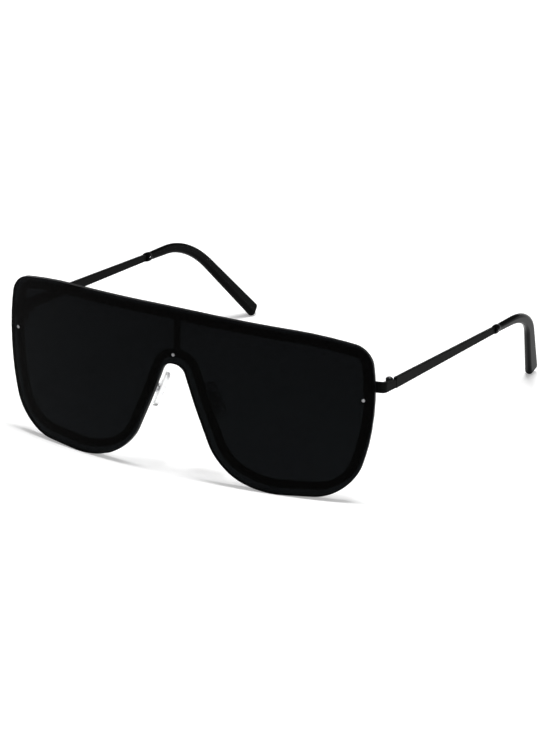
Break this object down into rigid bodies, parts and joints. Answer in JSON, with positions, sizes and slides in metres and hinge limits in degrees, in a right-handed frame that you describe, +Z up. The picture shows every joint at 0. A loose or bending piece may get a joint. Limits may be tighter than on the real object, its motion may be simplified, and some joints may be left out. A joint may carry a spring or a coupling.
{
  "type": "shield sunglasses",
  "caption": "Oversized flat-top shield sunglasses: one curved dark lens on a thin black rim, slim folding metal temples, bent ear tips and clear rocking nose pads.",
  "frame": {"origin": "on the floor under the middle of the part's box, with the temples open", "axes": "+Z up, -Y the way the lens faces, +X the wearer's left"},
  "size_m": [0.1474, 0.1444, 0.0592],
  "materials": {
    "lens_tint": "dark grey tinted lens, smooth",
    "black_metal": "satin black",
    "silver_metal": "bright steel",
    "tip_plastic": "glossy black",
    "pad_clear": "clear silicone"
  },
  "bodies": {
    "front": {"shield_lens": "lens_tint", "rim_frame": "black_metal", "lens_screw_left": "silver_metal", "lens_screw_right": "silver_metal", "lens_screw_centre": "silver_metal", "end_piece_left": "black_metal", "end_piece_right": "black_metal", "hinge_front_left": "black_metal", "hinge_front_right": "black_metal", "hinge_screw_left": "silver_metal", "hinge_screw_right": "silver_metal", "pad_arm_left": "silver_metal", "pad_arm_right": "silver_metal", "pad_box_left": "silver_metal", "pad_box_right": "silver_metal", "pad_screw_left": "silver_metal", "pad_screw_right": "silver_metal"},
    "temple_left": {"temple_arm_left": "black_metal", "hinge_temple_left": "black_metal", "temple_tip_left": "tip_plastic", "tip_pin_left": "silver_metal"},
    "nose_pad_left": {"nose_pad_left": "pad_clear", "pad_insert_left": "silver_metal"},
    "temple_right": {"temple_arm_right": "black_metal", "hinge_temple_right": "black_metal", "temple_tip_right": "tip_plastic", "tip_pin_right": "silver_metal"},
    "nose_pad_right": {"nose_pad_right": "pad_clear", "pad_insert_right": "silver_metal"}
  },
  "joints": [
    {"name": "temple_left_fold", "type": "hinge", "parent": "front", "child": "temple_left", "pos_m": [0.071, -0.04927, 0.03953], "axis": [0, 0.0541, 0.9985], "range_deg": [0, 88]},
    {"name": "temple_right_fold", "type": "hinge", "parent": "front", "child": "temple_right", "pos_m": [-0.071, -0.04927, 0.03953], "axis": [0, -0.0541, -0.9985], "range_deg": [0, 84]},
    {"name": "nose_pad_left_rock", "type": "hinge", "parent": "front", "child": "nose_pad_left", "pos_m": [0.01169, -0.06355, 0.02639], "axis": [0.4568, 0.8758, 0.1562], "range_deg": [-8, 8]},
    {"name": "nose_pad_right_rock", "type": "hinge", "parent": "front", "child": "nose_pad_right", "pos_m": [-0.01169, -0.06355, 0.02639], "axis": [-0.4568, 0.8758, 0.1562], "range_deg": [-8, 8]}
  ]
}
